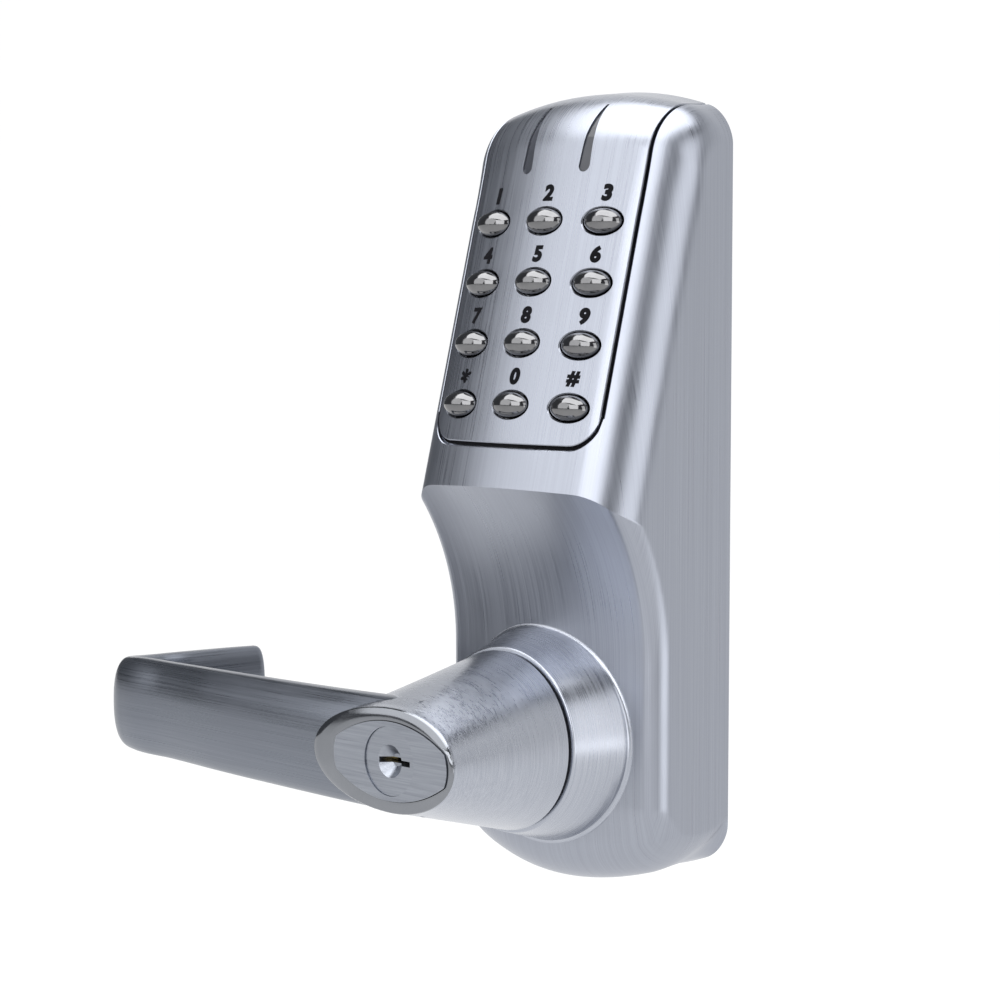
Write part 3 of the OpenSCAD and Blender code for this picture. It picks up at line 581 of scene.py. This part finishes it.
def make_casting():
    """The hollow casting, with a pocket for the plate, a window behind the keypad and a round hole
    for the collar. Its three sheets are the outer surface, the pocket's floor and the inside."""
    half = PLATE_HALF + PLATE_GAP
    start = math.asin((half + 1 - (HALF_W - ROUND_FACE)) / ROUND_FACE)
    outside = HALF_W - ROUND_FACE + ROUND_FACE * np.sin(np.linspace(start, math.pi / 2, 26))
    x = mirrored(np.concatenate([opening_columns(PLATE_GAP, 0.6), [half + HOLE_CHAMFER], outside]))
    v, open_row = casting_rows(x)
    front = surface(x[None, :], v)
    walls = []
    for side in (0, -1):
        edge = front[:, side]
        fanned = (v[:, side] <= 1) | (v[:, side] > 3)
        z_back = np.where(fanned, spine_z(v[:, side]), edge[:, 2])
        back = np.stack([edge[:, 0], np.zeros(len(edge)), z_back], -1)
        walls.append([mix(edge, back, t) for t in (0.34, 0.67, 1)])
    grid = np.stack(walls[0][::-1] + [front[:, j] for j in range(front.shape[1])] + walls[1], 1)
    rows, columns = grid.shape[:2]
    normals = grid_normals(grid)
    normals[:, :3], normals[:, -3:] = (-1, 0, 0), (1, 0, 0)
    left = 3 + int(np.argmin(np.abs(x + half)))
    right = 3 + int(np.argmin(np.abs(x - half)))

    pocket = np.zeros((rows - 1, columns - 1), bool)
    pocket[open_row:, left:right] = True
    centres = (grid[:-1, :-1] + grid[1:, 1:]) / 2
    window = pocket & (np.abs(centres[..., 0]) < WINDOW[0]) & (centres[..., 2] > WINDOW[1]) \
        & (centres[..., 2] < WINDOW[2]) & (centres[..., 1] < -10)
    radius = np.hypot(grid[..., 0], grid[..., 2])
    corner_r = [radius[i:rows - 1 + i, j:columns - 1 + j] for i in (0, 1) for j in (0, 1)]
    hole = (np.max(corner_r, 0) < HOLE_R) & (centres[..., 1] < -28)

    deep = grid + inward(normals, POCKET)
    deep[..., 1] = np.minimum(deep[..., 1], 0)
    inner = grid - normals * WALL
    inner[..., 1] = np.minimum(inner[..., 1], 0)
    outer = grid.copy()
    sunk = inward(normals, 0.2)
    outer[open_row:, [left, right]] += sunk[open_row:, [left, right]]
    outer[open_row, left + 1:right] += sunk[open_row, left + 1:right]

    count = rows * columns
    everything = np.ones_like(pocket)
    faces = cell_faces(~pocket & ~hole, 0, columns) + cell_faces(pocket & ~window, count, columns) \
        + cell_faces(~window & ~hole, 2 * count, columns, True)
    faces += strip(rim_edges(pocket, True), 0, count, columns)
    faces += strip(rim_edges(window), count, 2 * count, columns)
    faces += strip(rim_edges(hole), 0, 2 * count, columns)
    for a, b in rim_edges(everything):
        cell = (min(a[0], b[0]), min(a[1], b[1]))
        in_pocket = a[0] == rows - 1 and b[0] == rows - 1 and pocket[rows - 2, cell[1]]
        top = count if in_pocket else 0
        faces += strip([(b, a)], top, 2 * count, columns)
    last = (rows - 1) * columns
    for j, order in ((left, 1), (right, -1)):
        faces.append([last + j, count + last + j, 2 * count + last + j][::order])
    points = np.concatenate([g.reshape(-1, 3) for g in (outer, deep, inner)])
    return make("casting_shell", points, faces, [upright])


# ---------------------------------------------------------------- keypad plate
def plate_rows(x):
    """v of every row of the plate at the columns x."""
    edge = outline_z(x, 0)
    heights = [edge, edge + PLATE_CHAMFER, edge + 0.5]
    heights += [mix(edge + 0.5, FACE_END, t) for t in np.linspace(0, 1, 70)[1:]]
    top = [np.full_like(x, 3 + t) for t in top_stations(8, 33)]
    return np.array([face_v(x, h) for h in heights] + top)


def key_outline(grow, count=48):
    """Outline of a button, grown by a margin."""
    a = np.linspace(0, 2 * math.pi, count, endpoint=False)
    return (KEY_A + grow) * np.cos(a), (KEY_B + grow) * np.sin(a)


def key_place(i):
    """Middle of a button, in rows of three from the top left."""
    return (i % 3 - 1) * KEY_DX, KEY_Z0 + (3 - i // 3) * KEY_DZ


def hole_tool(i):
    """Cuts a button's hole, with a small chamfer that follows the curved face."""
    x0, z0 = key_place(i)
    rings = []
    for grow, out in ((KEY_GAP, -5), (KEY_GAP, -0.3), (0.6, 0.02), (0.9, 0.8)):
        x, y = key_outline(grow)
        rings.append(slope_frame(x0 + x, z0, y, face_out(x0 + x) + out))
    return make("tool", *loft(rings))


def slot_tool(x0):
    """Cuts a light's slot, round at its lower end and tapering to a point at its upper end."""
    r, r_mid, r_tip = PIPE_R + PIPE_CLEAR, PIPE_R_MID + PIPE_CLEAR, PIPE_R_TIP + PIPE_CLEAR
    a = np.radians(np.linspace(180, 360, 17))
    outline = [(x0 + r * math.cos(t), PIPE_LOW + r * math.sin(t)) for t in a]
    outline += [(x0 + r_mid, PIPE_MID), (x0 + r_tip, PIPE_TIP)]
    outline += [(x0 - r_tip, PIPE_TIP), (x0 - r_mid, PIPE_MID)]
    return make("tool", *loft([[[x, -o, z] for x, z in outline] for o in (12, 60)]))


def make_plate():
    """The keypad plate: a sheet with twelve holes and two slots."""
    x = mirrored(opening_columns(0, PLATE_CHAMFER))
    grid = surface(x[None, :], plate_rows(x))
    rows, columns = grid.shape[:2]
    normals = grid_normals(grid)
    under = grid + inward(normals, PLATE_T)
    under[..., 1] = np.minimum(under[..., 1], 0)
    top = grid.copy()
    sunk = inward(normals, 0.18)
    top[:, [0, -1]] += sunk[:, [0, -1]]
    top[0, 1:-1] += sunk[0, 1:-1]
    cells = np.ones((rows - 1, columns - 1), bool)
    faces = cell_faces(cells, 0, columns) + cell_faces(cells, rows * columns, columns, True)
    faces += [f[::-1] for f in strip(rim_edges(cells), 0, rows * columns, columns)]
    plate = make("keypad_plate_brushed", np.concatenate([top.reshape(-1, 3), under.reshape(-1, 3)]), faces,
                 [plate_metal])
    tools = [hole_tool(i) for i in range(12)] + [slot_tool(x) for x in PIPE_X]
    combine(plate, merge(tools), "DIFFERENCE")
    return plate


def make_button(i):
    """A polished dome on a skirt, with a collar behind the plate and a stem."""
    x0, z0 = key_place(i)
    sink = BOW_FACE * x0 * x0 * math.cos(LEAN)
    flange = -(PLATE_T + 0.75 * sink + 0.6)
    stem = -(MAT_DEPTH - MAT_T - MAT_CLEAR - sink)
    rings = [(STEM_SHARE, stem), (STEM_SHARE, flange - COLLAR_T), (COLLAR_SHARE, flange - COLLAR_T)]
    rings += [(COLLAR_SHARE, flange), (1, flange)]
    dome = np.radians(np.arange(0, 88, 5))
    rings += [(math.cos(a), SKIRT + (KEY_RISE - SKIRT) * math.sin(a)) for a in dome]
    ax, ay = key_outline(0)
    points, faces = loft([slope_frame(x0 + s * ax, z0, s * ay, out - sink + 0 * ax) for s, out in rings])
    return make("button_cap_" + KEY_NAMES[i], points, faces, [chrome], sharp=40)


def make_digits():
    """Black figures over the buttons, cut a little into the face."""
    made = []
    for i, sign in enumerate(DIGITS):
        x0, z0 = key_place(i)
        curve = bpy.data.curves.new("digit", "FONT")
        curve.body = sign
        curve.align_x = "CENTER"
        curve.align_y = "CENTER"
        curve.size = 1
        curve.offset = 0.022
        curve.shear = 0.08
        curve.resolution_u = 6
        text = bpy.data.objects.new("digit", curve)
        bpy.context.scene.collection.objects.link(text)
        graph = bpy.context.evaluated_depsgraph_get()
        flat = bpy.data.meshes.new_from_object(text.evaluated_get(graph))
        co = np.array([p.co for p in flat.vertices])
        faces = [list(p.vertices) for p in flat.polygons]
        bpy.data.objects.remove(text)
        low, high = co.min(0), co.max(0)
        height = DIGIT_HIGH if sign not in "*#" else SIGN_HIGH
        scale = height / (high[1] - low[1])
        edges = {(a, b) for f in faces for a, b in zip(f, f[1:] + f[:1])}
        rim = [(a, b) for a, b in edges if (b, a) not in edges]
        x = (co[:, 0] - (low[0] + high[0]) / 2) * scale * DIGIT_WIDEN
        y = (co[:, 1] - (low[1] + high[1]) / 2) * scale
        push = np.zeros((len(co), 2))
        for a, b in rim:
            side = np.array([y[b] - y[a], x[a] - x[b]])
            side /= max(np.linalg.norm(side), 1e-9)
            push[a] += side
            push[b] += side
        push /= np.maximum(np.linalg.norm(push, axis=1, keepdims=True), 1e-9)
        stroke = STAR_STROKE if sign == "*" else STROKE
        x = x + stroke * push[:, 0]
        y = y + stroke * push[:, 1] + DIGIT_RISE
        up = slope_frame(x0 + x, z0, y, face_out(x0 + x) + INK_PROUD)
        down = slope_frame(x0 + x, z0, y, face_out(x0 + x) - INK_DEEP)
        n = len(co)
        sides = [[b, a, a + n, b + n] for a, b in sorted(rim)]
        made.append(make("digit_" + KEY_NAMES[i], np.concatenate([up, down]),
                         faces + [[v + n for v in f[::-1]] for f in faces] + sides, [ink]))
    digits = merge(made)
    digits.name = "keypad_figures"
    return digits


# ---------------------------------------------------------------- collar
def cone_r(o):
    """Radius of the collar at a depth."""
    share = (o - COLLAR_BASE) / (COLLAR_FRONT - COLLAR_BASE)
    return np.where(o < COLLAR_BASE, COLLAR_R, mix(COLLAR_R, COLLAR_TIP_R, share))


def make_collar():
    """The collar, turned about the lever's axis, with a groove in its back."""
    soft = 0.5
    well_in, well_out, well_end = COLLAR_WELL
    profile = [(BUSH_R + 0.02, FLANGE_BACK), (well_in, FLANGE_BACK), (well_in, well_end)]
    profile += [(well_out, well_end), (well_out, FLANGE_BACK)]
    profile += [(COLLAR_R, FLANGE_BACK), (COLLAR_R, COLLAR_BASE)]
    profile += [(float(cone_r(o)), o) for o in np.linspace(COLLAR_BASE, COLLAR_FRONT - soft, 9)[1:]]
    tip = float(cone_r(COLLAR_FRONT - soft))
    profile += [(tip - soft * (1 - math.cos(a)), COLLAR_FRONT - soft + soft * math.sin(a))
                for a in np.radians((30, 60, 90))]
    profile += [(BUSH_R + 0.02, COLLAR_FRONT)]
    return make("collar_cone", *lathe(profile), [around_axis])


def casting_depth(x, z):
    """Depth of the casting round the lever."""
    return scoop_depth(z) - side_drop(x, BOW_LOW, ROUND_LOW)


def make_collar_bead():
    """A small concave bead where the collar meets the casting."""
    rings = []
    for a in np.linspace(0, 2 * math.pi, 160, endpoint=False):
        c, s = math.cos(a), math.sin(a)
        o = LOW_DEPTH
        for _ in range(12):
            r = float(cone_r(o))
            o = float(casting_depth(r * c, r * s))
        far = r + BEAD_REACH
        foot = np.array([far, float(casting_depth(far * c, far * s))])
        root = np.array([r, o])
        head = np.array([float(cone_r(o + BEAD_REACH)), o + BEAD_REACH])
        curve = [(1 - t) ** 2 * foot + 2 * t * (1 - t) * root + t * t * head
                 for t in np.linspace(0, 1, 7)]
        section = curve + [head - [0.6, 0.2], root - [0.8, 0.8], foot - [0.2, 0.5]]
        rings.append([[q[0] * c, -q[1], q[0] * s] for q in section])
    return make("collar_bead", *loft(rings, joined=True), [around_axis], sharp=50)


# ---------------------------------------------------------------- lever
def oval_point(angle, grow):
    """Point at an angle on the cylinder's oval outline."""
    c, s = np.cos(angle), np.sin(angle)
    low, high = np.zeros_like(angle), np.full_like(angle, 40.0)
    for _ in range(40):
        mid = (low + high) / 2
        x, z = mid * c, mid * s
        stadium = np.hypot(np.maximum(np.abs(x) - OVAL_FLAT, 0), z) - OVAL_R
        lens = np.hypot(x, np.abs(z) + OVAL_LENS_Z) - OVAL_LENS_R
        inside = np.maximum(stadium, lens) < grow
        low, high = np.where(inside, mid, low), np.where(inside, high, mid)
    return low * c, low * s


def hub_outline(t, angle):
    """Outline of the hub, a circle at t = 0 and an oval at t = 1."""
    c, s = np.cos(angle), np.sin(angle)
    side = np.where(c > 0, mix(HUB_R, HUB_R_RIGHT, t), mix(HUB_R, HUB_R_LEFT, t))
    return side * c, mix(HUB_R, HUB_R_HIGH, t) * s


def make_hub():
    """Cone that turns into an oval, with a polished face round the cylinder."""
    m = 144
    angle = np.linspace(0, 2 * math.pi, m, endpoint=False)

    def ring(x, z, o):
        return np.stack([x, np.full_like(x, -o), z], -1)

    x, z = hub_outline(0, angle)
    rings = [ring(x * 0.985, z * 0.985, HUB_BACK)]
    for t in np.linspace(0.01, HUB_EDGE, 22):
        rings.append(ring(*hub_outline(t, angle), mix(HUB_BACK, LEVER_FRONT - HUB_EDGE_BACK, t)))
    edge_x, edge_z = hub_outline(HUB_EDGE, angle)
    inner_x, inner_z = oval_point(angle, 0.5)
    satin = len(rings)
    for share, o in ((0.03, -0.75), (0.10, -0.45), (0.3, -0.3), (0.6, -0.12), (0.9, 0), (1, 0)):
        rings.append(ring(mix(edge_x, inner_x, share), mix(edge_z, inner_z, share), LEVER_FRONT + o))
    points, faces = loft(rings)
    cap = len(points) - 1
    slots = [1 if satin <= k // m < len(rings) - 1 or f[-1] == cap else 2 for k, f in enumerate(faces)]
    return make("lever_hub", points, faces, [lever_steel_painted_shade, mirror, around_axis], slots)


def spline(knots, count):
    """Smooth curve through knots, whose first two numbers are places and the rest sizes."""
    knots = np.array(knots, float)
    gaps = np.linalg.norm(np.diff(knots[:, :2], axis=0), axis=1)
    s = np.concatenate([[0], np.cumsum(gaps)])
    slopes = np.gradient(knots, s, axis=0)
    u = np.linspace(0, s[-1], count)
    i = np.clip(np.searchsorted(s, u, side="right") - 1, 0, len(knots) - 2)
    h = (s[i + 1] - s[i])[:, None]
    t = ((u - s[i]) / h[:, 0])[:, None]
    return (2 * t**3 - 3 * t**2 + 1) * knots[i] + (t**3 - 2 * t**2 + t) * h * slopes[i] \
        + (3 * t**2 - 2 * t**3) * knots[i + 1] + (t**3 - t**2) * h * slopes[i + 1]


def make_bar():
    """Bar, bend and return leg, swept along one curve."""
    reach = -size_of("lever_handle", LOW, 0)
    path = BAR_PATH + [(-reach + BEND_IN + BEND_R * math.cos(a), BEND_DEPTH + BEND_R * math.sin(a))
                       for a in np.radians(90 + 17 * np.arange(6))]
    path += [(-reach + x, o) for x, o in LEG_PATH]
    last = len(BAR_PATH) - 1
    knots = []
    for i, p in enumerate(path):
        part = 0 if i <= last else 1
        t = i / last if part == 0 else (i - last) / (len(path) - 1 - last)
        half_h = mix(BAR_HALF_H[part], BAR_HALF_H[part + 1], t)
        half_t = mix(BAR_HALF_T[part], BAR_HALF_T[part + 1], t)
        knots.append((*p, half_h, half_t))
    line = spline(knots, 190)
    along = np.gradient(line[:, :2], axis=0)
    along /= np.linalg.norm(along, axis=1, keepdims=True)
    out = np.stack([along[:, 1], -along[:, 0]], -1)
    a = np.linspace(0, 2 * math.pi, 80, endpoint=False)
    cx = np.sign(np.cos(a)) * np.abs(np.cos(a)) ** BAR_SQUARE
    cz = np.sign(np.sin(a)) * np.abs(np.sin(a)) ** BAR_SQUARE

    def ring(k, shrink=0.0, move=0.0):
        p = line[k, :2] + along[k] * move
        w, h = line[k, 3] - shrink, line[k, 2] - shrink
        return np.stack([p[0] + out[k, 0] * w * cx, -(p[1] + out[k, 1] * w * cx), h * cz], -1)

    rings = [ring(k) for k in range(len(line))]
    soft = 1.3
    rings += [ring(len(line) - 1, soft * (1 - math.cos(q)), soft * math.sin(q))
              for q in np.radians((22, 45, 68, 90))]
    # The bar takes the darker steel, whose base colour is painted shade.
    return make("tool", *loft(rings), [lever_steel_painted_shade], sharp=50)


def make_lever():
    """Hub, bar and journal as one body, bored for the cylinder and its tailpiece."""
    lever = make_hub()
    lever.name = "lever_body"
    combine(lever, make_bar(), "UNION")
    journal = [(JOURNAL_R, JOURNAL_BACK), (JOURNAL_R, HUB_BACK + 2), (0.5, HUB_BACK + 2),
               (0.5, JOURNAL_BACK)]
    combine(lever, make("tool", *lathe(journal, 96), [lever_steel_painted_shade]), "UNION")
    angle = np.linspace(0, 2 * math.pi, 144, endpoint=False)
    x, z = oval_point(angle, OVAL_CLEAR)
    rings = [np.stack([x, np.full_like(x, -o), z], -1) for o in (CYL_BACK - 4, LEVER_FRONT + 5)]
    combine(lever, make("tool", *loft(rings), [mirror]), "DIFFERENCE")
    c, s = np.cos(angle) * JOURNAL_IN, np.sin(angle) * JOURNAL_IN
    rings = [np.stack([c, np.full_like(c, -o), s], -1) for o in (2, CYL_BACK)]
    combine(lever, make("tool", *loft(rings), [lever_steel_painted_shade]), "DIFFERENCE")
    return lever


# ---------------------------------------------------------------- build
casting = make_casting()
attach(casting, "case")
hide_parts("casting")

plate = make_plate()
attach(plate, "case")
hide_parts("keypad_plate")

figures = make_digits()
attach(figures, "case")

for index, key in enumerate(KEY_NAMES):
    cap = make_button(index)
    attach(cap, "key_" + key)
    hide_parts("button_" + key)

collar = make_collar()
bead = make_collar_bead()
for piece in (collar, bead):
    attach(piece, "case")
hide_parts("lever_collar")

lever = make_lever()
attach(lever, "lever")
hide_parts("lever_handle")

FINISHES = (
    (cylinder_metal, ("cylinder_body", "key_plug")),
    (seal, ("plate_seal", "door_gasket")),
    (rubber, ("rubber_mat", "cable_grommet")),
    (black_plastic, ("board_chips", "buzzer", "motor_bracket")),
    (white_plastic, ("board_connector", "clutch_yoke")),
    (smoked, ("light_pipe_left", "light_pipe_right")),
    (board_green, ("circuit_board",)),
    (red_lens, ("status_leds",)),
    (bronze, ("lever_bush", "drive_cam")),
    (brass, ("key_pins",)),
    (spring_steel, ("circlip", "return_spring", "pin_springs", "plug_clip")),
    (dark_steel, ("cylinder_screw",)),
)
FINISH_OF = {node: finish for finish, group in FINISHES for node in group}
for name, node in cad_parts.items():
    node.data.materials.clear()
    node.data.materials.append(FINISH_OF.get(name, plated))

for name in ("cylinder_body", "key_plug"):
    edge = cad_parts[name].modifiers.new("edge", "BEVEL")
    edge.width = 0.00022
    edge.segments = 2
    edge.limit_method = "ANGLE"
    edge.angle_limit = math.radians(40)

# ---------------------------------------------------------------- studio
AIM = Vector((-0.04529, 0, 0.0573))
EYE = Vector((0.4346, -0.5100, 0.1146))
camera_data = bpy.data.cameras.new("camera")
camera_data.lens = 88.83
camera_data.sensor_width = 36
camera = bpy.data.objects.new("camera", camera_data)
camera.location = EYE
camera.rotation_euler = (AIM - EYE).to_track_quat("-Z", "Y").to_euler()
bpy.context.scene.collection.objects.link(camera)
bpy.context.scene.camera = camera


def paper(name, glow):
    """White paper that glows evenly, so that it stays plain white round the object."""
    m, _, _, shader = new_material(name)
    shader.inputs["Base Color"].default_value = (0.12, 0.12, 0.12, 1)
    shader.inputs["Roughness"].default_value = 1
    shader.inputs["Specular IOR Level"].default_value = 0
    shader.inputs["Emission Color"].default_value = (1, 1, 1, 1)
    shader.inputs["Emission Strength"].default_value = glow
    return m


def make_floor():
    """A pale floor that sweeps up into a backdrop."""
    steps = 24
    reach, sweep, drop = 6000, 1500, -320
    outline = [(-reach, 0)] + [(2500 + sweep * math.sin(a), sweep - sweep * math.cos(a))
                               for a in np.linspace(0, math.pi / 2, steps)] + [(4000, reach)]
    points = [[x, y, z + drop] for x in (-reach, reach) for y, z in outline]
    n = len(outline)
    faces = [[i, i + 1, n + i + 1, n + i] for i in range(n - 1)]
    return make("floor", points, faces, [paper("paper", 0.97)], sharp=80)


make_floor()


def softbox(name, place, width, height, power):
    """A rectangular light aimed at the middle of the object."""
    data = bpy.data.lights.new(name, "AREA")
    data.shape = "RECTANGLE"
    data.size, data.size_y = width, height
    data.energy = power
    lamp = bpy.data.objects.new(name, data)
    lamp.location = place
    lamp.rotation_euler = (CENTRE - Vector(place)).to_track_quat("-Z", "Y").to_euler()
    bpy.context.scene.collection.objects.link(lamp)


CENTRE = Vector((-0.03, -0.03, 0.07))
softbox("key_left", (-0.8, -1.35, 0.7), 1.2, 1.3, 9)
softbox("front_right", (0.45, -1.4, 0.62), 1.3, 1.2, 15)
softbox("right", (1.3, 0.0, 0.3), 0.8, 1.4, 7)
softbox("top", (-0.05, -0.2, 1.2), 1.7, 1.4, 27)

world = bpy.data.worlds.new("studio")
world.use_nodes = True
world.node_tree.nodes["Background"].inputs["Color"].default_value = (0.82, 0.86, 0.93, 1)
world.node_tree.nodes["Background"].inputs["Strength"].default_value = 0.16
bpy.context.scene.world = world
bpy.context.scene.view_settings.view_transform = "Standard"
